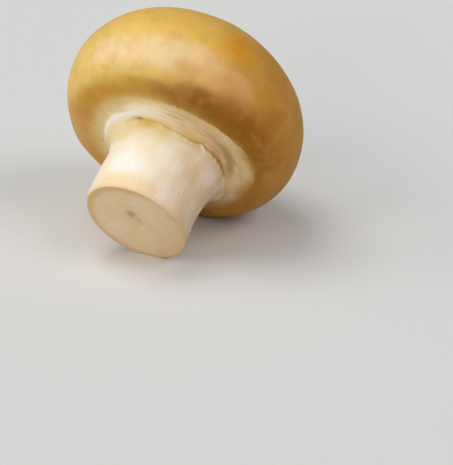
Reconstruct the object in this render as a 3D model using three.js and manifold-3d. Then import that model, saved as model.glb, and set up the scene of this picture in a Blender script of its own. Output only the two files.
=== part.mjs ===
// A closed cremini mushroom, picked and trimmed at the foot of its stem.
// It is turned upright about its axis, cut face down and crown up, then laid on its side:
// it lies on the flank of its cap and on the edge of its cut. Millimetres, +Z up.

import * as THREE from 'three';
import { mergeVertices } from 'three/addons/utils/BufferGeometryUtils.js';
import Module from 'manifold-3d';

const wasm = await Module();
wasm.setup();

// Cap: an oblate dome over a shallower belly, both measured from its widest ring.
const cap = {
  radius: 25,
  crownHeight: 18.7,
  bellyDepth: 16.6,
  ringHeight: 26.6, // widest ring above the cut
  marginAngle: THREE.MathUtils.degToRad(-31), // where the belly starts to roll inwards
};

// Stem: heights are above the cut, radii about the stem's own centre line.
const stem = {
  footRadius: 10.5,
  waistRadius: 10.7,
  neckRadius: 11.7,
  neckHeight: 14.9,
  lipRise: 0.65, // from the neck up to the edge of the crease
  offset: new THREE.Vector2(1.75, 0.95), // centre line away from the cap's axis
  bow: 0.6, // how far the middle of the stem bulges back towards the cap's axis
  cutSlope: new THREE.Vector2(0.020, -0.039), // rise of the cut face per millimetre across
};

// Underside: the closed veil spans from a crease at the stem's neck to the cap's rolled margin.
const veil = {
  creaseRadius: 12.6,
  creaseHeight: 16.45,
  collarRadius: 14.9, // a low swelling stands round the crease
  collarHeight: 16.35,
  marginRadius: 19.4,
  marginHeight: 16.95,
};

const pressedFlat = 0.3; // depth of the flats where the soft flesh bears on the table
const turns = 60; // facets around the axis

const smooth = THREE.MathUtils.smoothstep;
const at = (radius, height) => new THREE.Vector2(radius, height);

// Half outline from the middle of the cut, out and up round the mushroom to the crown.
function halfOutline() {
  const foot = [
    at(0, 0),
    at(stem.footRadius * 0.5, 0),
    at(stem.footRadius, 0),
  ];
  const lip = at(stem.neckRadius + 0.25, stem.neckHeight + stem.lipRise);
  const side = new THREE.SplineCurve([
    at(stem.waistRadius, 0.5),
    at(stem.waistRadius, 5),
    at(stem.waistRadius + 0.05, 10),
    at(stem.waistRadius + 0.45, 13),
    at(stem.neckRadius, stem.neckHeight),
    lip,
  ]);
  const underside = new THREE.SplineCurve([
    lip,
    at(veil.creaseRadius, veil.creaseHeight),
    at(veil.collarRadius - 1.3, veil.collarHeight + 0.2),
    at(veil.collarRadius, veil.collarHeight),
    at(veil.collarRadius + 1.2, veil.collarHeight + 0.45),
    at(veil.marginRadius, veil.marginHeight),
    bellyCurve().getPoint(0),
  ]);
  return [
    ...foot,
    ...side.getPoints(9),
    ...underside.getPoints(14).slice(1),
    ...bellyCurve().getPoints(5).slice(1),
    ...crownCurve().getPoints(13).slice(1),
  ];
}

function bellyCurve() {
  return new THREE.EllipseCurve(0, cap.ringHeight, cap.radius, cap.bellyDepth, cap.marginAngle, 0);
}

function crownCurve() {
  return new THREE.EllipseCurve(0, cap.ringHeight, cap.radius, cap.crownHeight, 0, Math.PI / 2);
}

// Shifts the stem and the veil off the cap's axis, bows the stem, and slopes the cut.
function growUnevenly(geometry) {
  const position = geometry.getAttribute('position');
  const point = new THREE.Vector3();
  for (let i = 0; i < position.count; i++) {
    point.fromBufferAttribute(position, i);
    const radius = Math.hypot(point.x, point.y);
    const below = point.z < cap.ringHeight;
    const share = below ? 1 - smooth(radius, veil.collarRadius + 1.5, cap.radius * 0.88) : 0;
    const bowed = 1 - stem.bow / stem.offset.length() * bowAt(point.z);
    const nearCut = 1 - smooth(point.z, 0, stem.neckHeight * 0.6);
    point.z += nearCut * (point.x * stem.cutSlope.x + point.y * stem.cutSlope.y);
    point.x += share * bowed * stem.offset.x;
    point.y += share * bowed * stem.offset.y;
    position.setXYZ(i, point.x, point.y, point.z);
  }
  return geometry;
}

function bowAt(height) {
  return height < stem.neckHeight ? Math.sin(Math.PI * height / stem.neckHeight) : 0;
}

// Angle of the axis above the table at which the cap and the cut edge both touch it.
function restingAngle(geometry) {
  const position = geometry.getAttribute('position');
  const point = new THREE.Vector3();
  const gap = (angle) => {
    let lowestOfCap = Infinity;
    let lowestOfStem = Infinity;
    for (let i = 0; i < position.count; i++) {
      point.fromBufferAttribute(position, i);
      const height = laidHeight(point, angle);
      if (point.z > stem.neckHeight) lowestOfCap = Math.min(lowestOfCap, height);
      else lowestOfStem = Math.min(lowestOfStem, height);
    }
    return lowestOfCap - lowestOfStem;
  };
  let shallow = THREE.MathUtils.degToRad(15);
  let steep = THREE.MathUtils.degToRad(45);
  for (let step = 0; step < 40; step++) {
    const middle = (shallow + steep) / 2;
    if (gap(middle) > 0) steep = middle;
    else shallow = middle;
  }
  return (shallow + steep) / 2;
}

// Height above the table, give or take a constant, once the axis leans back by the angle.
function laidHeight(point, angle) {
  return point.z * Math.sin(angle) - point.y * Math.cos(angle);
}

// Merges the seam and the poles, so that the surface is one closed skin.
function toManifold(geometry) {
  const bare = geometry.clone().deleteAttribute('normal').deleteAttribute('uv');
  const merged = mergeVertices(bare, 1e-3);
  const index = merged.getIndex().array;
  const triangles = [];
  for (let i = 0; i < index.length; i += 3) {
    const [a, b, c] = index.slice(i, i + 3);
    if (a !== b && b !== c && c !== a) triangles.push(a, b, c);
  }
  return new wasm.Manifold(new wasm.Mesh({
    numProp: 3,
    vertProperties: new Float32Array(merged.getAttribute('position').array),
    triVerts: new Uint32Array(triangles),
  }));
}

function toGeometry(manifold) {
  const { vertProperties, triVerts } = manifold.getMesh();
  const geometry = new THREE.BufferGeometry();
  geometry.setAttribute('position', new THREE.BufferAttribute(vertProperties, 3));
  geometry.setIndex(new THREE.BufferAttribute(triVerts, 1));
  return geometry;
}

// Trims away the little that would be below the table, which leaves two small flats.
function pressOnTable(geometry) {
  geometry.computeBoundingBox();
  geometry.translate(0, 0, -geometry.boundingBox.min.z - pressedFlat);
  const size = cap.radius * 4;
  const below = new THREE.BoxGeometry(size, size, size).translate(0, 0, -size / 2);
  return toGeometry(toManifold(geometry).subtract(toManifold(below)));
}

// Puts the origin under the middle of the mushroom, on the table.
function centre(geometry) {
  geometry.computeBoundingBox();
  const middle = geometry.boundingBox.getCenter(new THREE.Vector3());
  return geometry.translate(-middle.x, -middle.y, 0);
}

function makeMushroom() {
  const upright = new THREE.LatheGeometry(halfOutline(), turns).rotateX(Math.PI / 2);
  const grown = growUnevenly(upright);
  const laid = grown.rotateX(restingAngle(grown) - Math.PI / 2);
  const geometry = centre(pressOnTable(laid));
  geometry.computeVertexNormals();
  const flesh = new THREE.MeshStandardMaterial({ color: 0xc8995a, roughness: 0.6, metalness: 0 });
  const mesh = new THREE.Mesh(geometry, flesh);
  mesh.name = 'mushroom';
  return mesh;
}

const mushroom = new THREE.Group();
mushroom.add(makeMushroom());

export default mushroom;
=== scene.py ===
import math

import bmesh
import bpy
from mathutils import Matrix, Vector, noise


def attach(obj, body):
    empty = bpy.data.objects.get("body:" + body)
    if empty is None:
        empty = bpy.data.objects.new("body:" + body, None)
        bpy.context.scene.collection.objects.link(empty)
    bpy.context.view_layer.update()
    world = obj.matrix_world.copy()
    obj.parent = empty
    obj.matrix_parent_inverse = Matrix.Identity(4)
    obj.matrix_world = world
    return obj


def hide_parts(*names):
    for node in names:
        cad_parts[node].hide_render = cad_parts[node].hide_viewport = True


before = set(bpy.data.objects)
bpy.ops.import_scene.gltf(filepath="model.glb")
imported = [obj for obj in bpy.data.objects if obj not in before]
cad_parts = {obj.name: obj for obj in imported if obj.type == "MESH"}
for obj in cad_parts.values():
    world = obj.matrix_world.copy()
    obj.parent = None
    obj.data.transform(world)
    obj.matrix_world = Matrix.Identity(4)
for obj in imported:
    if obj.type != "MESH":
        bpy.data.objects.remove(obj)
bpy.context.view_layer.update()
millimetre = 0.001


# Small helpers

def smoothStep(low, high, value):
    share = min(max((value - low) / (high - low), 0.0), 1.0)
    return share * share * (3 - 2 * share)


def hump(middle, width, value):
    # 1 at the middle, falling smoothly to 0 one width away
    return 1 - smoothStep(0, width, abs(value - middle))


def mixed(low, high, share):
    return low + (high - low) * share


def facing(turn, wanted, width):
    # 1 on the side at the wanted angle round the axis, 0 from width degrees away
    apart = abs((math.degrees(turn) - wanted + 180) % 360 - 180)
    return 1 - smoothStep(0, width, apart)


def linked(name, mesh):
    piece = bpy.data.objects.new(name, mesh)
    bpy.context.scene.collection.objects.link(piece)
    return piece


def paint(hexCode):
    # a colour as written, such as "e8b45c", in the linear values that a socket takes
    values = [int(hexCode[i:i + 2], 16) / 255 for i in (0, 2, 4)]
    return [v / 12.92 if v < 0.04 else ((v + 0.055) / 1.055) ** 2.4 for v in values] + [1]


# The mushroom is shaped upright, in millimetres, cut at height 0 and crown up, then laid down.
# Turns are degrees round its axis: -90 is the side that lies uppermost.

grown = {
    "capRadius": 25.0,
    "crownHeight": 18.7,
    "bellyDepth": 16.6,
    "ringHeight": 26.6,  # of the cap's widest ring
    "marginAngle": math.radians(-31),  # where the belly starts to roll inwards
    "footRadius": 10.5,
    "waistRadius": 10.7,
    "neckHeight": 14.9,
    "stemOffset": Vector((1.75, 0.95)),  # of the stem's centre line from the cap's axis
    "offsetFades": (16.4, 22.0),  # radii between which the belly takes that offset up
    "stemBow": 0.6,
    "cutSlope": Vector((0.020, -0.039)),  # rise of the cut for each millimetre across
    "slopeFades": 8.94,  # height at which the stem no longer follows it
    "collarRadius": 14.9,
    "collarHeight": 16.35,
    "marginRadius": 19.4,
    "marginHeight": 16.95,
    "lean": math.radians(29.42),  # of the axis above the table, as the solid lies
    # steps round the axis, and along each stretch of the outline
    "steps": {"round": 400, "cut": 26, "foot": 3, "side": 9, "underside": 11, "belly": 18, "crown": 58},
    # the neck's upper knots and the veil's inner ones (radius, height), by how the two meet
    "joinings": {
        "torn": [(11.15, 13), (11.7, 14.9), (11.95, 15.55), (12.6, 16.75), (13.6, 16.7)],
        "whole": [(11.15, 13), (11.7, 14.9), (11.95, 15.55), (12.6, 15.9), (13.6, 16.2)],
        "flared": [(11.4, 12.2), (12.2, 13.8), (12.95, 14.75), (13.6, 15.4), (14.2, 15.9)],
    },
    # how the underside changes round the axis: pairs of degrees and value
    "around": {
        "creaseOpen": [(-180, 0), (-118, 0), (-95, 0.06), (-60, 0.06), (-45, 0.25), (-28, 0.9),
                       (-2, 0.8), (10, 0.1), (40, 0.2), (75, 0.7), (110, 0.6), (145, 0)],
        "flare": [(-180, 0.9), (-130, 1), (-105, 0.3), (-92, 0), (4, 0), (26, 0.6), (50, 0.5),
                  (80, 0), (120, 0.3), (150, 0.8)],
        "lipLift": [(-180, 0), (-140, 0), (-122, 0.1), (-108, 1.1), (-97, 0.75), (-86, 0.3),
                    (-74, -0.15), (-62, -0.4), (-50, -0.35), (-40, 0.5), (-32, 0.05), (-25, 0.25),
                    (-14, 0.2), (-5, -0.1), (3, -0.2), (20, -0.3), (60, 0.2), (110, -0.3), (150, 0)],
        "torn": [(-180, 0), (-114, 0), (-106, 1), (-8, 1), (1, 0.7), (7, 0.15), (13, 0), (21, 0),
                 (26, 0.5), (31, 0.5), (38, 0), (60, 0.6), (100, 0.8), (130, 0.3), (150, 0)],
        "collarRidge": [(-180, 0.3), (-160, 0.6), (-145, 1), (-112, 1), (-85, 0.3), (-60, 0), (150, 0.2)],
        "skinEdgeRadius": [(-180, 17.7), (-140, 17.6), (-120, 17.8), (-95, 18.1), (-80, 18.0),
                           (-60, 18.2), (-48, 18.6), (-40, 19.1), (-30, 19.6), (-15, 20.1),
                           (-3, 20.1), (5, 18.6), (10, 17.4), (18, 16.3), (28, 15.6), (40, 15.2),
                           (60, 15.1), (95, 16.7), (130, 17.6)],
    },
    # how far the fine forms stand off the smooth shape, in millimetres
    "uneven": {
        "capLumps": 0.14,
        "capDimples": 0.035,
        "marginPuckers": 0.10,
        "marginFullness": 0.50,
        "collarRidge": 0.32,
        "skinEdge": 0.20,
        "skinEdgeSwells": 0.20,
        "skinEdgeFrays": 0.07,
        "veilStreaks": 0.06,
        "lipCurl": 0.30,
        "lipJags": 0.55,
        "stemRidges": 0.10,
        "stemFibres": 0.035,
        "stemSideways": 0.16,
        "cutUneven": 0.05,
        "pitDepth": 0.30,
    },
    # the ones that run up the mushroom: lanes round the axis, and how soon they change on the way up
    "lanes": {
        "stemRidges": (4, 0.07),
        "stemFibres": (19, 0.12),
        "veilStreaks": (3, 2.6),
        "marginPuckers": (11, 0.12),
    },
    # swellings of the stem, and hollows where the last value is less than 0:
    # height, half height, degrees round, half width, how far out
    "stemSwellings": [
        (13.3, 3.6, -12, 30, 0.55),
        (7.0, 5.5, 2, 40, -0.22),
        (14.6, 5.0, 30, 32, -0.66),
    ],
    # millimetres of the outline over which one kind of unevenness gives way to the next
    "givesWay": {
        "atCut": 0.1,
        "stemFromFoot": 1.3,
        "stemToLip": 0.5,
        "veilFromLip": 1.5,
        "capFromSkinEdge": 2.5,
    },
    # the raised edge of the skin: millimetres past the edge at which it starts, stands, falls and is gone
    "skinRim": {"starts": -0.25, "stands": 0.3, "falls": 0.4, "gone": 3.0},
    # the torn lip: how far its lift is felt down the stem and into the crease, and its edge's width
    "tornLip": {"downStem": 3.4, "closedCrease": 1.4, "openCrease": 3.4, "forLift": 2.3, "edge": 0.9},
    # the pit in the cut, and the shallow streak that leads off from it
    "pit": {
        "middle": Vector((-0.2, -2.6)),
        "radius": (0.1, 1.1),  # of its floor and of its rim
        "streak": Vector((1.6, 2.0)),
        "streakHalfWidth": (0.05, 0.55),
        "streakShare": 0.45,  # of the pit's depth
        "unevenUpTo": (9.3, 10.4),  # radii between which the cut's unevenness ends
    },
}


def splinePoints(knots, count):
    # a Catmull-Rom curve through the knots, with count steps from each knot to the next
    points = []
    for i in range(len(knots) - 1):
        before = Vector(knots[max(i - 1, 0)])
        start = Vector(knots[i])
        end = Vector(knots[i + 1])
        after = Vector(knots[min(i + 2, len(knots) - 1)])
        for step in range(count):
            t = step / count
            slope = (end - before) * t
            bend = (2 * before - 5 * start + 4 * end - after) * t ** 2
            twist = (3 * start - before - 3 * end + after) * t ** 3
            points.append(start + (slope + bend + twist) * 0.5)
    points.append(Vector(knots[-1]))
    return points


def ellipsePoints(depth, startAngle, endAngle, count):
    points = []
    for step in range(count + 1):
        angle = mixed(startAngle, endAngle, step / count)
        radius = grown["capRadius"] * math.cos(angle)
        points.append(Vector((radius, grown["ringHeight"] + depth * math.sin(angle))))
    return points


def halfOutline(joining):
    # from the middle of the cut, out and up round the mushroom to the crown
    g = grown
    steps = g["steps"]
    neckStart, neck, lip, crease, inner = g["joinings"][joining]
    cut = [Vector((g["footRadius"] * step / steps["cut"], 0)) for step in range(steps["cut"])]
    foot = splinePoints([
        (g["footRadius"], 0),
        (g["footRadius"] + 0.15, 0.15),
        (g["waistRadius"], 0.5),
    ], steps["foot"])
    side = splinePoints([
        (g["waistRadius"], 0.5),
        (g["waistRadius"], 5),
        (g["waistRadius"] + 0.05, 10),
        neckStart,
        neck,
        lip,
    ], steps["side"])
    belly = ellipsePoints(g["bellyDepth"], g["marginAngle"], 0, steps["belly"])
    underside = splinePoints([
        lip,
        crease,
        inner,
        (g["collarRadius"], g["collarHeight"]),
        (g["collarRadius"] + 1.2, g["collarHeight"] + 0.45),
        (g["marginRadius"], g["marginHeight"]),
        tuple(belly[0]),
    ], steps["underside"])
    crown = ellipsePoints(g["crownHeight"], 0, math.pi / 2, steps["crown"])
    return cut + foot + side[1:] + underside[1:] + belly[1:] + crown[1:]


tornOutline = halfOutline("torn")
wholeOutline = halfOutline("whole")
flaredOutline = halfOutline("flared")


def lengthsAlong(outline):
    lengths = [0.0]
    for start, end in zip(outline, outline[1:]):
        lengths.append(lengths[-1] + (end - start).length)
    return lengths


def alongAt(radius, height):
    # how far along the outline the point nearest to this one is
    place = Vector((radius, height))
    nearest = min(range(len(tornOutline)), key=lambda i: (tornOutline[i] - place).length)
    return lengthsAlong(tornOutline)[nearest]


# distances along the outline, in millimetres, at which one kind of surface gives way to the next
marks = {
    "foot": alongAt(grown["footRadius"], 0),
    "lip": alongAt(*grown["joinings"]["torn"][2]),
    "collar": alongAt(grown["collarRadius"], grown["collarHeight"]),
    "margin": alongAt(grown["marginRadius"], grown["marginHeight"]),
}


def valueAround(name, turn):
    # the value from the pairs at this turn, smoothly between them
    pairs = grown["around"][name]
    degrees = (math.degrees(turn) + 180) % 360 - 180
    for (low, lowValue), (high, highValue) in zip(pairs, pairs[1:] + [(pairs[0][0] + 360, pairs[0][1])]):
        if low <= degrees <= high:
            return mixed(lowValue, highValue, smoothStep(low, high, degrees))
    return pairs[0][1]


def grainAt(turn, reach, height):
    # a smooth random value on a circle of this reach round the axis, at this height
    return noise.noise(Vector((math.cos(turn) * reach, math.sin(turn) * reach, height)))


def ripple(turn, count, seed):
    # a smooth random value round the axis, with about count swells in a turn
    return grainAt(turn, count / 6, seed)


def laned(name, turn, along):
    reach, change = grown["lanes"][name]
    return grainAt(turn, reach, along * change)


def spinUpright():
    # the outline spun round the axis; each vertex keeps its place in the outline
    bm = bmesh.new()
    place = bm.verts.layers.int.new("place")
    chain = []
    for i, point in enumerate(tornOutline):
        vert = bm.verts.new((point.x, 0, point.y))
        vert[place] = i
        if chain:
            bm.edges.new((chain[-1], vert))
        chain.append(vert)
    bmesh.ops.spin(bm, geom=chain + list(bm.edges), cent=(0, 0, 0), axis=(0, 0, 1), angle=math.tau,
                   steps=grown["steps"]["round"], use_merge=True, use_duplicate=False)
    bmesh.ops.remove_doubles(bm, verts=list(bm.verts), dist=1e-5)
    bmesh.ops.recalc_face_normals(bm, faces=list(bm.faces))
    bm.normal_update()
    return bm


def stemRelief(p, turn, along):
    u = grown["uneven"]
    ridges = u["stemRidges"] * laned("stemRidges", turn, along)
    fibres = u["stemFibres"] * laned("stemFibres", turn, along)
    swelling = sum(out * hump(height, halfHeight, p.z) * facing(turn, side, halfWidth)
                   for height, halfHeight, side, halfWidth, out in grown["stemSwellings"])
    return ridges + fibres + swelling - u["stemSideways"] * math.cos(turn)


def veilRelief(turn, along, past):
    u = grown["uneven"]
    streaks = u["veilStreaks"] * laned("veilStreaks", turn, along)
    shape = grown["skinRim"]
    rim = smoothStep(shape["starts"], shape["stands"], past)
    rim *= 1 - smoothStep(shape["falls"], shape["gone"], past)
    rim *= mixed(0.2, 1, facing(turn, -35, 95))  # boldest on this side
    ridge = hump(marks["collar"] - 0.7, 1.7, along) * (1 + 0.7 * ripple(turn, 30, 11))
    ridge *= valueAround("collarRidge", turn)
    return streaks + u["skinEdge"] * rim + u["collarRidge"] * ridge


def capRelief(p, turn, along):
    # the random values are shifted down, so that they mostly dent the smooth shape
    u = grown["uneven"]
    lumps = noise.noise(p / 9 + Vector((4, 0, 0))) - 0.35
    dimples = noise.noise(p / 2.3) - 0.3
    puckers = (laned("marginPuckers", turn, along) - 0.3) * hump(marks["margin"] + 2, 6, along)
    fullness = hump(37.2, 6.0, along) * (facing(turn, 168, 75) + 0.4 * facing(turn, 45, 50))
    return (u["capLumps"] * lumps + u["capDimples"] * dimples + u["marginPuckers"] * puckers
            + u["marginFullness"] * fullness)


def cutRelief(p):
    u = grown["uneven"]
    pit = grown["pit"]
    broad = noise.noise(p / 3.1 + Vector((0, 0, 8)))
    ragged = 0.5 * noise.noise(p * 0.9)
    away = p.xy - pit["middle"]
    hollow = 1 - smoothStep(*pit["radius"], away.length + ragged)
    share = min(max(away.dot(pit["streak"]) / pit["streak"].length_squared, 0), 1)
    streak = 1 - smoothStep(*pit["streakHalfWidth"], (away - pit["streak"] * share).length + ragged * 0.6)
    inside = 1 - smoothStep(*pit["unevenUpTo"], p.xy.length)
    depth = u["pitDepth"] * max(hollow, pit["streakShare"] * streak)
    return u["cutUneven"] * (inside * broad - 0.3) - inside * depth


def pastSkinEdge(turn, along):
    # millimetres past the edge of the brown skin
    u = grown["uneven"]
    swells = u["skinEdgeSwells"] * ripple(turn, 24, 2)
    frays = u["skinEdgeFrays"] * ripple(turn, 110, 5)
    edge = valueAround("skinEdgeRadius", turn) + swells + frays
    return along - marks["collar"] - (edge - grown["collarRadius"])


def relief(p, turn, along):
    # how far the finished surface stands off the smooth shape
    foot = marks["foot"]
    lip = marks["lip"]
    givesWay = grown["givesWay"]
    onCut = 1 - smoothStep(foot - givesWay["atCut"], foot + givesWay["atCut"], along)
    if onCut > 0:
        return onCut * cutRelief(p)
    nearLip = smoothStep(lip - givesWay["stemToLip"], lip, along)
    past = pastSkinEdge(turn, along)
    onCap = smoothStep(0, givesWay["capFromSkinEdge"], past)
    height = 0.0
    if nearLip < 1:
        onStem = (1 - nearLip) * smoothStep(foot, foot + givesWay["stemFromFoot"], along)
        height += onStem * stemRelief(p, turn, along)
    if nearLip > 0 and past < grown["skinRim"]["gone"]:
        height += smoothStep(lip, lip + givesWay["veilFromLip"], along) * veilRelief(turn, along, past)
    if onCap > 0:
        height += onCap * capRelief(p, turn, along)
    return height


def tearing(turn, along):
    # the torn edge of the neck is drawn up and down, curls off the crease, and is jagged
    u = grown["uneven"]
    lip = grown["tornLip"]
    lift = valueAround("lipLift", turn)
    reach = lip["downStem"]
    if along > marks["lip"]:
        reach = mixed(lip["closedCrease"], lip["openCrease"], valueAround("creaseOpen", turn))
        reach = max(reach, lip["forLift"] * abs(lift))
    nearLip = hump(marks["lip"], reach, along)
    if nearLip <= 0:
        return Vector((0, 0, 0))
    ragged = hump(marks["lip"] - 0.1, lip["edge"], along) * valueAround("torn", turn)
    ragged *= mixed(0.35, 1, facing(turn, -18, 50))  # it is most broken on this side
    jags = 0.3 * ripple(turn, 22, 3) + 0.7 * ripple(turn, 70, 9)
    curl = ragged * u["lipCurl"] * (0.5 + 1.1 * ripple(turn, 26, 7))
    rise = nearLip * lift + ragged * u["lipJags"] * jags
    return Vector((math.cos(turn) * curl, math.sin(turn) * curl, rise))


def offCentre(p):
    # the stem stands beside the cap's axis, bows a little, and its cut slopes
    g = grown
    share = 0.0
    if p.z < g["ringHeight"]:
        share = 1 - smoothStep(*g["offsetFades"], p.xy.length)
    bow = math.sin(math.pi * p.z / g["neckHeight"]) if 0 < p.z < g["neckHeight"] else 0
    shift = g["stemOffset"] * share * (1 - g["stemBow"] / g["stemOffset"].length * bow)
    rise = (1 - smoothStep(0, g["slopeFades"], p.z)) * p.xy.dot(g["cutSlope"])
    return Vector((p.x + shift.x, p.y + shift.y, p.z + rise))


def layingDown():
    # the two ends of the solid's widest ring give the middle of the cap
    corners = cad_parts["mushroom"].data.vertices
    left = min(corners, key=lambda v: v.co.x).co
    right = max(corners, key=lambda v: v.co.x).co
    return (Matrix.Translation((left + right) / 2)
            @ Matrix.Rotation(grown["lean"] - math.pi / 2, 4, "X")
            @ Matrix.Scale(millimetre, 4)
            @ Matrix.Translation((0, 0, -grown["ringHeight"])))


def makeMushroom():
    bm = spinUpright()
    layers = bm.verts.layers
    place = layers.int["place"]
    upright = layers.float_vector.new("upright")
    alongLayer = layers.float.new("along")
    pastLayer = layers.float.new("pastSkinEdge")
    tornLayer = layers.float.new("torn")
    lengths = lengthsAlong(tornOutline)
    for vert in bm.verts:
        turn = math.atan2(vert.co.y, vert.co.x)
        i = vert[place]
        along = lengths[i]
        outline = mixed(wholeOutline[i], tornOutline[i], valueAround("creaseOpen", turn))
        outline = mixed(outline, flaredOutline[i], valueAround("flare", turn))
        p = Vector((math.cos(turn) * outline.x, math.sin(turn) * outline.x, outline.y))
        vert[upright] = p
        vert[alongLayer] = along
        vert[pastLayer] = pastSkinEdge(turn, along)
        vert[tornLayer] = valueAround("torn", turn)
        vert.co = offCentre(p + vert.normal * relief(p, turn, along) + tearing(turn, along))
    bmesh.ops.transform(bm, matrix=layingDown(), verts=list(bm.verts))
    for vert in bm.verts:
        vert.co.z = max(vert.co.z, 0.0)  # the soft flesh is pressed flat where it bears
    mesh = bpy.data.meshes.new("mushroomFlesh")
    bm.to_mesh(mesh)
    bm.free()
    mesh.attributes.remove(mesh.attributes["place"])
    mesh.polygons.foreach_set("use_smooth", [True] * len(mesh.polygons))
    return linked("mushroomFlesh", mesh)


# Materials

class Wire:
    # one output of a node; arithmetic on it adds Math nodes
    def __init__(self, kit, socket):
        self.kit = kit
        self.socket = socket

    def maths(self, operation, *values):
        return self.kit.node("ShaderNodeMath", {"operation": operation}, dict(enumerate(values)))

    def __add__(self, other):
        return self.maths("ADD", self, other)

    def __radd__(self, other):
        return self.maths("ADD", other, self)

    def __sub__(self, other):
        return self.maths("SUBTRACT", self, other)

    def __rsub__(self, other):
        return self.maths("SUBTRACT", other, self)

    def __mul__(self, other):
        return self.maths("MULTIPLY", self, other)

    def __rmul__(self, other):
        return self.maths("MULTIPLY", other, self)

    def __pow__(self, other):
        return self.maths("POWER", self, other)

    def __rpow__(self, other):
        return self.maths("POWER", other, self)

    def timesPlus(self, factor, extra):
        return self.maths("MULTIPLY_ADD", self, factor, extra)

    def larger(self, other):
        return self.maths("MAXIMUM", self, other)

    def apart(self, other):
        return self.maths("ABSOLUTE", self - other)


class Kit:
    # the nodes of a material or of the world
    def __init__(self, owner):
        owner.use_nodes = True
        self.tree = owner.node_tree
        self.tree.nodes.clear()

    def node(self, kind, settings=None, inputs=None, out=0):
        made = self.tree.nodes.new(kind)
        for name, value in (settings or {}).items():
            setattr(made, name, value)
        for name, value in (inputs or {}).items():
            if isinstance(value, Wire):
                self.tree.links.new(value.socket, made.inputs[name])
            else:
                made.inputs[name].default_value = value
        return Wire(self, made.outputs[out]) if made.outputs else None

    def step(self, value, low, high, below=0, above=1):
        # a smooth step between what holds below low and what holds above high
        return self.node("ShaderNodeMapRange", {"interpolation_type": "SMOOTHSTEP"}, {
            "Value": value, "From Min": low, "From Max": high, "To Min": below, "To Max": above})

    def fade(self, value, low, high, strength=1):
        return self.step(value, low, high, strength, 0)

    def between(self, share, low, high):
        # the Mix node's sockets go by number: 0 is the factor, 2 and 3 are values, 6 and 7 colours
        return self.node("ShaderNodeMix", None, {0: share, 2: low, 3: high})

    def blend(self, share, low, high):
        return self.node("ShaderNodeMix", {"data_type": "RGBA"}, {0: share, 6: low, 7: high}, out=2)

    def grain(self, where, size, detail, roughness, warp=0):
        return self.node("ShaderNodeTexNoise", None, {
            "Vector": where,
            "Scale": 1 / size,
            "Detail": detail,
            "Roughness": roughness,
            "Distortion": warp,
        })

    def vector(self, operation, *values, out=0):
        settings = {"operation": operation}
        return self.node("ShaderNodeVectorMath", settings, dict(enumerate(values)), out=out)

    def combined(self, x, y, z):
        return self.node("ShaderNodeCombineXYZ", None, {0: x, 1: y, 2: z})


# the finish; what is the same all over is named after its socket
finish = {
    "mottling": {"mottle": 6, "blotch": 2.4, "fine": 0.8},  # sizes in millimetres
    "roughness": 0.46,
    "rougher": 0.14,  # added on some of the blotches
    "bump": 0.4,
    "bumpHeight": 0.0002,
    "same": {
        "Specular IOR Level": 0.25,
        "Sheen Weight": 0.12,
        "Sheen Roughness": 0.35,
        "Sheen Tint": paint("ffe9c4"),
        "Subsurface Weight": 0.12,
        "Subsurface Radius": (1.0, 0.5, 0.25),
        "Subsurface Scale": 0.0015,
    },
}


class Place:
    # where a point of the surface is on the mushroom, and the mottling there
    def __init__(self, kit):
        self.kit = kit
        self.point = self.carried("upright", "Vector")
        self.along = self.carried("along", "Fac")
        self.past = self.carried("pastSkinEdge", "Fac")
        self.torn = self.carried("torn", "Fac")
        flat = kit.vector("MULTIPLY", self.point, (1, 1, 0))
        self.radius = kit.vector("LENGTH", flat, out="Value")
        self.outward = kit.vector("NORMALIZE", flat)
        size = finish["mottling"]
        self.mottle = kit.grain(self.point, size["mottle"], 2, 0.5)
        self.blotch = kit.grain(self.point, size["blotch"], 3, 0.5)
        self.fine = kit.grain(self.point, size["fine"], 3, 0.6)
        self.brokenness = (self.mottle - 0.5) + (self.blotch - 0.5) * 0.35

    def carried(self, name, out):
        return self.kit.node("ShaderNodeAttribute", {"attribute_name": name}, out=out)

    def side(self, turn, size=1):
        # the size on the side at this turn, falling to its negative on the far side
        angle = math.radians(turn)
        towards = (size * math.cos(angle), size * math.sin(angle), 0)
        return self.kit.vector("DOT_PRODUCT", self.outward, towards, out="Value")

    def lengthwise(self, lanes, stretch):
        # a place for a grain that runs up the mushroom: many lanes round it, slow along it
        up = self.kit.combined(0, 0, self.along * stretch)
        return self.kit.vector("MULTIPLY_ADD", self.outward, (lanes, lanes, 0), up)

    def patch(self, turn, along, width, height, broken, strength=1):
        # its strength in the middle of a patch with a broken edge, 0 outside; half sizes in millimetres
        girth = 2 * (grown["capRadius"] / width) ** 2
        up = self.along.timesPlus(1 / height, -along / height)
        away = (up.timesPlus(up, girth) - self.side(turn, girth)) ** 0.5
        return self.kit.fade(self.brokenness.timesPlus(broken, away), 0.15, 1.3, strength)

    def patched(self, colour, colours, patches):
        # each patch: colour, degrees round, millimetres along, half width, half height, strength,
        # and how broken its edge is
        for name, turn, along, width, height, strength, broken in patches:
            share = self.patch(turn, along, width, height, broken, strength)
            colour = self.kit.blend(share, colour, colours[name])
        return colour


skinColours = {
    "left": paint("e6bf62"),
    "right": paint("d2963c"),
    "yellow": paint("f0cd72"),
    "cream": paint("f8d8a2"),
    "gold": paint("f0bf52"),
    "ochre": paint("e29a18"),
    "pink": paint("f2ba70"),
    "peach": paint("e2a866"),
    "dusk": paint("daa968"),
    "orange": paint("d5922c"),
    "brown": paint("b87a26"),
    "russet": paint("c07030"),
    "goldenBand": paint("ce962e"),
    "marginBrownAndShade": paint("985e04"),
    "crown": paint("b87c34"),
    "fibre": paint("a0662a"),
}

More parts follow.
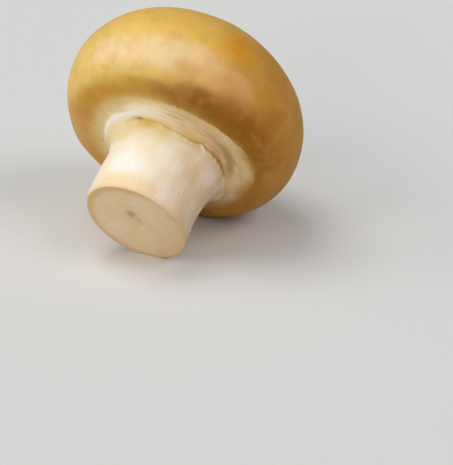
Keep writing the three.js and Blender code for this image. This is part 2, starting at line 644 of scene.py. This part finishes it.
skinPatches = [
    ("yellow", -118, 41.5, 19, 6.5, 0.9, 1.2),
    ("yellow", -96, 47.4, 15, 3.4, 0.85, 1.2),
    ("yellow", 172, 47, 12, 7, 0.4, 1.5),
    ("gold", -90, 52.5, 20, 6.5, 0.85, 1.2),
    ("gold", -60, 48.6, 7, 2.8, 0.75, 1.0),
    ("gold", 140, 56, 14, 7, 0.5, 1.5),
    # the cream patches are a painted highlight, broad and soft on the side that lies uppermost
    ("cream", -104, 41.4, 9, 3.2, 0.9, 1.2),
    ("cream", -83, 42.3, 12, 3.6, 1.0, 0.9),
    ("cream", -70, 44.9, 7, 2.4, 0.8, 0.9),
    ("cream", 95, 50, 8, 4, 0.3, 1.5),
    ("pink", -55, 43.6, 8, 4.0, 0.8, 1.0),
    ("peach", -44, 42.5, 7, 3.6, 0.85, 1.0),
    ("cream", -64, 44.0, 5, 2.6, 0.5, 1.0),
    ("gold", -68, 58.0, 12, 5.5, 0.8, 1.2),
    ("orange", -52, 58, 9, 5.0, 0.4, 1.2),
    ("orange", -28, 54, 10, 6.5, 0.6, 1.2),
    ("orange", 40, 54, 11, 6, 0.5, 1.5),
    ("ochre", -51, 51.5, 4.6, 5.6, 0.9, 0.9),
    ("orange", -68, 41.4, 3.6, 2.0, 0.4, 1.2),
    ("brown", -20, 42.5, 5, 3.6, 0.8, 1.2),
    ("brown", -3, 40.5, 9, 3.8, 0.75, 1.2),
    ("russet", 30, 41, 8, 4, 0.3, 1.5),
    ("russet", 55, 36, 10, 4, 0.4, 1.5),
    ("russet", 118, 41, 9, 4, 0.3, 1.5),
    # the skin darkens towards the margin, partly its own browner margin and partly painted shade where
    # the cap rolls under
    ("goldenBand", -92, 35.2, 10, 2.6, 0.75, 0.6),
    ("goldenBand", -120, 34.5, 15, 1.9, 0.9, 0.6),
    ("goldenBand", -148, 34.4, 14, 2.1, 1.0, 0.6),
    ("goldenBand", -176, 34.9, 12, 1.9, 0.45, 0.6),
    ("dusk", -176, 35.8, 14, 3.6, 0.8, 0.8),
    ("dusk", 164, 35.0, 12, 3.6, 0.9, 0.8),
    ("goldenBand", 145, 34.8, 14, 2.6, 0.8, 0.8),
    ("marginBrownAndShade", -70, 35.5, 10, 3.0, 0.75, 0.6),
    ("marginBrownAndShade", -56, 37.3, 6, 2.2, 0.66, 0.6),
    ("marginBrownAndShade", -46, 36.8, 15, 3.6, 1.0, 0.6),
    ("marginBrownAndShade", -27, 38.6, 9, 4.6, 0.9, 0.6),
    ("marginBrownAndShade", -8, 37.5, 10, 4.2, 0.75, 0.8),
    ("marginBrownAndShade", 14, 34.8, 10, 4.0, 0.5, 0.8),
    ("marginBrownAndShade", 38, 32.4, 14, 3.0, 0.5, 0.8),
    ("marginBrownAndShade", 80, 35, 18, 3.6, 0.4, 1.0),
]


def skinColour(kit, at):
    c = skinColours
    # one side is browner, partly the skin's own tone and partly painted shade on the side turned from the
    # lamps
    colour = kit.blend(kit.step(at.side(42) + (at.mottle - 0.5) * 0.5, -0.3, 0.3), c["left"], c["right"])
    towardsCrown = kit.step(at.along + (at.mottle - 0.5) * 14, 61, 75)
    colour = kit.blend(towardsCrown * 0.75, colour, c["crown"])
    colour = at.patched(colour, c, skinPatches)
    blush = kit.grain(at.point, 3.4, 2, 0.4)
    colour = kit.blend(kit.step(blush, 0.48, 0.7) * 0.14, colour, c["brown"])
    colour = kit.blend(kit.fade(blush, 0.32, 0.5) * 0.14, colour, c["pink"])
    colour = kit.blend(kit.step(at.blotch, 0.45, 0.7) * 0.08, colour, c["russet"])
    fibres = kit.grain(at.lengthwise(26, 0.16), 1, 3, 0.6)
    strands = kit.step(fibres, 0.5, 0.8)
    colour = kit.blend(strands * (towardsCrown * 0.45 + 0.08), colour, c["fibre"])
    return kit.blend(kit.step(at.fine, 0.5, 0.8) * 0.10, colour, c["fibre"])


veilColours = {
    "white": paint("fff0d2"),
    "paintedHighlight": paint("fffbee"),
    "rosy": paint("eecb9c"),
    "beige": paint("e2bb8a"),
    "yellow": paint("eecb80"),
    "valley": paint("f4e2ae"),
    "streak": paint("b0926c"),
    "grooveShade": paint("b08e58"),
    "green": paint("e2c890"),
    "pale": paint("fbe0ac"),
    "cream": paint("e4c492"),
    "dun": paint("c99b58"),
    "shade": paint("e4b06a"),
}

veilPatches = [
    ("yellow", -53, 27.5, 6, 1.6, 0.7, 0.9),
    ("valley", -176, 27.4, 8, 2.2, 0.9, 0.6),
    ("valley", -160, 27.2, 8, 2.0, 0.9, 0.6),
    ("valley", -140, 27.3, 9, 1.8, 0.9, 0.6),
    ("valley", -118, 27.3, 6, 1.4, 0.9, 0.6),
    # a painted highlight where the collar's ridge catches the light
    ("paintedHighlight", -138, 29.1, 20, 1.3, 0.9, 0.6),
]

rimPatches = [
    ("pale", -90, 31.6, 9, 2.2, 0.9, 0.8),
    ("dun", -9, 35.0, 9, 2.4, 1, 0.7),
    ("dun", 14, 32.6, 5, 2.0, 0.9, 0.8),
    ("white", -95, 30.7, 9, 1.0, 0.8, 0.8),
]

foldPatches = [
    # the groove patches are painted shade in the crease beside the torn lip, and the shade patch is
    # painted shade under the cap
    ("grooveShade", -26, 28.2, 4.0, 1.15, 0.4, 0.5),
    ("grooveShade", -37, 30.5, 4.0, 1.15, 0.4, 0.5),
    ("grooveShade", -28, 30.5, 4.0, 1.15, 0.6, 0.5),
    ("grooveShade", -20, 30.0, 4.0, 1.15, 0.8, 0.5),
    ("grooveShade", -12, 29.3, 4.0, 1.15, 0.85, 0.5),
    ("grooveShade", -5, 28.5, 4.0, 1.15, 0.85, 0.5),
    ("grooveShade", 2, 28.0, 4.0, 1.15, 0.5, 0.5),
    ("dun", 24, 30.0, 5, 1.5, 0.6, 0.6),
    ("shade", 60, 29.4, 13, 3.4, 1, 0.6),
]


def veilColour(kit, at):
    c = veilColours
    rosyShare = kit.step(at.side(-15) + (at.mottle - 0.5) * 0.4, 0.2, 0.84)
    colour = kit.blend(rosyShare, c["white"], c["rosy"])
    colour = kit.blend(kit.step(at.blotch, 0.42, 0.7) * rosyShare * 0.5, colour, c["beige"])
    colour = at.patched(colour, c, veilPatches)
    # past the collar the veil runs out towards the skin
    reached = at.along + (at.blotch - 0.5) * 1.2 + kit.step(at.side(-142), 0.7, 0.92) * 0.5
    past = kit.step(reached, marks["collar"] + 0.1, marks["collar"] + 0.9)
    creamShare = kit.step(at.side(-15) + (at.blotch - 0.5) * 0.5, 0.1, 0.75)
    rim = at.patched(kit.blend(creamShare, c["green"], c["cream"]), c, rimPatches)
    colour = kit.blend(past * 0.9, colour, rim)
    colour = kit.blend(kit.step(at.side(178), 0.9, 0.99) * 0.6, colour, c["green"])
    # a fringe lies over the rim, and streaks run round the collar
    fringe = kit.grain(at.lengthwise(9, 0.5), 1, 3, 0.6, 0.6)
    colour = kit.blend(kit.step(fringe, 0.48, 0.7) * past * 0.2, colour, c["streak"])
    colour = kit.blend(kit.fade(fringe, 0.3, 0.46) * past * 0.2, colour, c["white"])
    streaks = kit.grain(at.lengthwise(3.2, 1.7), 1, 4, 0.65, 0.5)
    band = kit.fade(at.along.apart(marks["collar"] + 0.5), 0.3, 2.2) * kit.step(at.side(-40), 0.55, 0.9)
    colour = kit.blend(kit.step(streaks, 0.46, 0.7) * (band * 0.5 + 0.05), colour, c["streak"])
    colour = kit.blend(kit.fade(streaks, 0.3, 0.46) * band * 0.3, colour, c["white"])
    return at.patched(colour, c, foldPatches)


tearColours = {
    "glow": paint("e8c466"),
    "faint": paint("f4d690"),
    "soft": paint("eac47e"),
    "olive": paint("b4903c"),
    "line": paint("a8742a"),
    "orange": paint("daa25c"),
    "fleck": paint("fbeac6"),
}


def tearColour(kit, at, colour):
    c = tearColours

    def spot(turn, pastLip, width, height, broken, strength=1):
        return at.patch(turn, marks["lip"] + pastLip, width, height, broken, strength)

    rough = kit.step(at.side(-15), 0.75, 0.95)  # the side on which the edge is most broken
    patchy = kit.step(kit.grain(at.lengthwise(5, 0), 1, 2, 0.5), 0.3, 0.6)
    # a golden glow lies on both sides of the torn lip
    wander = (at.blotch - 0.5) * 0.9 + (at.fine - 0.5) * 0.5
    fromLip = at.along - marks["lip"] + wander
    glow = kit.fade(fromLip.apart(-0.2), 0.3, 1.7) * at.torn
    gold = kit.blend(kit.step(at.side(-30), 0.5, 0.8), c["glow"], c["faint"])
    colour = kit.blend(glow * (patchy * 0.5 + 0.3), colour, gold)
    colour = kit.blend(spot(-90, 0.9, 11, 1.3, 0.6, 0.9), colour, c["soft"])
    wide = spot(-97, -0.1, 4, 1.0, 0.6).larger(spot(-50, 0.7, 5, 0.9, 0.8))
    colour = kit.blend(wide * at.torn * 0.85, colour, c["glow"])
    colour = kit.blend(spot(-106, 0.3, 2.0, 0.6, 0.5, 0.9), colour, c["olive"])
    colour = kit.blend(spot(-14, 0.5, 7, 0.8, 0.8) * at.torn * 0.9, colour, c["orange"])
    # a dark line runs just past the lip, partly the torn edge's own brown and partly painted shade in the
    # recess there; pale flecks just before it are painted highlights on the raised edge
    tear = at.along - marks["lip"] + (at.fine - 0.5) * 0.5
    line = kit.fade(tear.apart(0.3), 0.08, 0.6) * kit.step(at.torn, 0.1, 0.8)
    colour = kit.blend(line * (patchy * 0.25 + rough * 0.15 + 0.15), colour, c["line"])
    fleck = kit.fade(tear.apart(-0.35), 0.1, 0.5) * kit.step(at.fine, 0.5, 0.62) * at.torn * rough
    fleck = (fleck * 0.55).larger(spot(-20, -0.2, 1.0, 0.4, 1.2) * 0.7)
    colour = kit.blend(fleck, colour, c["fleck"])
    return kit.blend(spot(38, 0.4, 1.7, 0.4, 0.6, 0.6), colour, c["line"])


stemColours = {
    "white": paint("fff4de"),
    "paintedHighlight": paint("fffaf2"),
    "warm": paint("fbe6c2"),
    "rosy": paint("f5d2ac"),
    "lilacHighlight": paint("ffebda"),
    "dim": paint("e8c594"),
    "stain": paint("f9dda4"),
    "peach": paint("f6d4a4"),
    "top": paint("f5dea6"),
    "tan": paint("cda66a"),
    "fibre": paint("dcbd92"),
}

# the brightest patch is painted light on the side facing the lamps, the lilac patches are painted
# highlights on the swellings, and the dim patches are painted shade where the stem folds and turns from
# the light
stemPatches = [
    ("paintedHighlight", -100, 17.2, 13, 4.0, 0.8, 0.8),
    ("dim", -28, 21.6, 5, 3.6, 0.75, 0.6),
    ("dim", -46, 22.8, 5, 2.0, 0.5, 0.8),
    ("lilacHighlight", -10, 24.0, 6, 4, 0.85, 0.8),
    ("lilacHighlight", 17, 24.6, 5, 1.8, 0.9, 0.8),
    ("lilacHighlight", -44, 13.6, 5, 3.8, 0.9, 0.8),
    ("dim", -16, 12, 6, 2.6, 0.5, 0.8),
    ("dim", 2, 20.5, 7, 2.6, 0.5, 0.8),
]

# over the yellow of the stem's top; the tan patches are painted shade, under the lip and on the side
# turned from the lamps
neckPatches = [
    ("tan", 21, 26.7, 6, 1.3, 0.85, 0.7),
    ("tan", 40, 21.6, 6, 3.2, 0.75, 0.7),
    ("peach", -62, 12.6, 6, 2.4, 0.7, 0.9),
]


def stemColour(kit, at):
    c = stemColours
    colour = kit.blend(kit.step(at.mottle, 0.42, 0.62) * 0.5, c["white"], c["warm"])
    ridges = kit.grain(at.lengthwise(5, 0.06), 1, 3, 0.6, 0.3)
    shaded = kit.step(at.side(12), 0.0, 0.9)
    colour = kit.blend(shaded * (kit.step(ridges, 0.3, 0.7) * 0.4 + 0.3), colour, c["rosy"])
    colour = at.patched(colour, c, stemPatches)
    top = kit.step(at.along + (at.mottle - 0.5) * 5, 20.8, 25.0) * kit.fade(at.side(-10), 0.35, 0.8)
    top = (top * 0.9).larger(at.patch(5, 26.2, 5, 1.6, 0.8) * 0.9)
    colour = kit.blend(top, colour, c["top"])
    colour = at.patched(colour, c, neckPatches)
    # the foot is stained, most of all on the side that lies uppermost
    stain = at.patch(-94, 11.8, 19, 2.8, 0.9)
    foot = kit.fade(at.along + (at.blotch - 0.5) * 2.5, marks["foot"] + 0.3, marks["foot"] + 2.2)
    colour = kit.blend(stain.larger(foot * 0.4) * 0.8, colour, c["stain"])
    edge = kit.fade(at.along + (at.fine - 0.5) * 0.6, marks["foot"] + 0.3, marks["foot"] + 1.3, 0.5)
    colour = kit.blend(edge, colour, c["dim"])
    fibres = kit.grain(at.lengthwise(22, 0.14), 1, 2, 0.6, 0.3)
    colour = kit.blend(kit.step(fibres, 0.5, 0.8) * 0.11, colour, c["fibre"])
    return kit.blend(kit.step(at.fine, 0.5, 0.8) * 0.10, colour, c["fibre"])


cutColours = {
    "flesh": paint("f2d3a4"),
    "pale": paint("f2dab6"),
    "dim": paint("dfbd90"),
    "rim": paint("deb07c"),
    "pit": paint("b8965e"),
    "fleck": paint("fbe6c0"),
}

# round the pit: colour, middle, radius of its full strength, radius at which it ends, strength
cutSpots = [
    ("dim", (0.2, -2.4, 0), 0.6, 4.6, 0.5),
    ("pit", (-0.4, -2.6, 0), 0.1, 1.6, 0.6),
    ("pit", (0.8, -1.4, 0), 0.0, 1.3, 0.35),
    ("pit", (1.4, -0.6, 0), 0.0, 0.9, 0.35),
    ("fleck", (1.1, 1.0, 0), 0.1, 0.9, 0.7),
]


def cutColour(kit, at):
    c = cutColours
    colour = kit.blend(kit.step(at.mottle, 0.4, 0.62), c["flesh"], c["pale"])
    shaded = kit.step(at.side(20) * at.radius + (at.blotch - 0.5) * 6, 1, 9)
    colour = kit.blend(shaded * 0.7, colour, c["dim"])
    colour = kit.blend(kit.step(at.fine, 0.5, 0.8) * 0.18, colour, c["dim"])
    rim = kit.step(at.radius + (at.blotch - 0.5) * 2.4, 8.5, 10.3)
    rim *= kit.step(at.side(-150), -0.4, 0.6) * 0.45 + 0.35
    colour = kit.blend(rim, colour, c["rim"])
    for name, middle, inner, outer, strength in cutSpots:
        away = kit.vector("DISTANCE", at.point, middle, out="Value") + (at.fine - 0.5) * 0.9
        colour = kit.blend(kit.fade(away, inner, outer) * strength, colour, c[name])
    return colour


def mushroomMaterial():
    material = bpy.data.materials.new("mushroomSkinAndFlesh")
    kit = Kit(material)
    at = Place(kit)
    onStem = kit.step(at.along + (at.fine - 0.5) * 0.25, marks["foot"] + 0.05, marks["foot"] + 0.3)
    onVeil = kit.step(at.along + (at.fine - 0.5) * 1.0, marks["lip"], marks["lip"] + 0.5)
    # the skin ends in a crisp ragged edge on one side and fades out on the other
    ragged = at.past + (at.blotch - 0.5) * 0.9 + (at.fine - 0.5) * 0.7
    crisp = kit.step(ragged, -0.25, 0.35)
    soft = kit.step(ragged, -2.0, 1.2)
    onSkin = kit.between(kit.step(at.side(-45), 0.72, 0.92), soft, crisp)
    colour = kit.blend(onStem, cutColour(kit, at), stemColour(kit, at))
    colour = kit.blend(onVeil, colour, veilColour(kit, at))
    colour = tearColour(kit, at, colour)
    colour = kit.blend(onSkin, colour, skinColour(kit, at))
    fibres = kit.grain(at.lengthwise(30, 0.2), 1, 3, 0.6)
    bump = kit.node("ShaderNodeBump", None, {
        "Strength": finish["bump"],
        "Distance": finish["bumpHeight"],
        "Height": fibres * 0.6 + at.fine * 0.9,
    })
    shader = kit.node("ShaderNodeBsdfPrincipled", None, finish["same"] | {
        "Base Color": colour,
        "Roughness": kit.step(at.blotch, 0.25, 0.75) * finish["rougher"] + finish["roughness"],
        "Normal": bump,
    })
    kit.node("ShaderNodeOutputMaterial", None, {"Surface": shader})
    return material


mushroom = makeMushroom()
print("mushroom shaped,", len(mushroom.data.vertices), "vertices")
mushroom.data.materials.append(mushroomMaterial())
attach(mushroom, "root")
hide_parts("mushroom")
print("mushroom coloured,", len(mushroom.active_material.node_tree.nodes), "nodes")


# Camera, light and floor

view = {
    "azimuth": math.radians(28.07),
    "elevation": math.radians(25.875),
    "distance": 0.350,
    "target": Vector((0.01234, -0.00143, 0.00187)),
    "lens": 134.0,
    "sensor": 36,
    "clip": (0.01, 20),
}

studio = {
    "worldStrength": 0.2,
    "backdrop": (0.72, 0.72, 0.71, 1),
    "floorSeen": (0.80, 0.80, 0.79, 1),
    "floorBounce": (0.50, 0.49, 0.47, 1),  # what the floor throws back onto the mushroom
    "floorSize": 3.0,
    "lampDistance": 1.0,
    # for each lamp: degrees round from the camera, degrees up, degrees across, strength
    "lamps": {
        "key": (-52, 28, 32, 0.55),
        "left": (-95, 15, 32, 0.70),
        "top": (-118, 70, 37, 0.97),
        "fill": (-20, 12, 28, 0.74),
        "right": (60, 45, 28, 0.72),
    },
}


def direction(azimuth, elevation):
    # from the object out to a viewer or a lamp
    level = math.cos(elevation)
    return Vector((math.sin(azimuth) * level, -math.cos(azimuth) * level, math.sin(elevation)))


def aim(thing, away, place):
    thing.location = place
    thing.rotation_mode = "QUATERNION"
    thing.rotation_quaternion = (-away).to_track_quat("-Z", "Y")
    bpy.context.scene.collection.objects.link(thing)


def makeCamera():
    away = direction(view["azimuth"], view["elevation"])
    data = bpy.data.cameras.new("camera")
    data.lens = view["lens"]
    data.sensor_width = view["sensor"]
    data.clip_start, data.clip_end = view["clip"]
    camera = bpy.data.objects.new("camera", data)
    aim(camera, away, view["target"] + away * view["distance"])
    bpy.context.scene.camera = camera


def makeLamps():
    for name, (side, up, across, strength) in studio["lamps"].items():
        away = direction(view["azimuth"] + math.radians(side), math.radians(up))
        data = bpy.data.lights.new(name, "SUN")
        data.angle = math.radians(across)
        data.energy = strength
        aim(bpy.data.objects.new(name, data), away, away * studio["lampDistance"])


def makeWorld():
    world = bpy.data.worlds.new("studio")
    bpy.context.scene.world = world
    kit = Kit(world)
    path = kit.node("ShaderNodeLightPath", out="Is Camera Ray")
    lit = kit.node("ShaderNodeBackground", None, {
        "Color": (1, 1, 1, 1), "Strength": studio["worldStrength"]})
    seen = kit.node("ShaderNodeBackground", None, {"Color": studio["backdrop"], "Strength": 1})
    kit.node("ShaderNodeOutputWorld", None, {
        "Surface": kit.node("ShaderNodeMixShader", None, {0: path, 1: lit, 2: seen})})


def makeFloor():
    bm = bmesh.new()
    bmesh.ops.create_grid(bm, x_segments=1, y_segments=1, size=studio["floorSize"])
    mesh = bpy.data.meshes.new("floor")
    bm.to_mesh(mesh)
    bm.free()
    material = bpy.data.materials.new("palePaint")
    kit = Kit(material)
    path = kit.node("ShaderNodeLightPath", out="Is Camera Ray")
    bounce = kit.node("ShaderNodeBsdfDiffuse", None, {"Color": studio["floorBounce"]})
    seen = kit.node("ShaderNodeBsdfDiffuse", None, {"Color": studio["floorSeen"]})
    kit.node("ShaderNodeOutputMaterial", None, {
        "Surface": kit.node("ShaderNodeMixShader", None, {0: path, 1: bounce, 2: seen})})
    mesh.materials.append(material)
    linked("floor", mesh)


makeCamera()
makeLamps()
makeWorld()
makeFloor()
bpy.context.scene.view_settings.view_transform = "Standard"
print("camera, lamps and floor made")
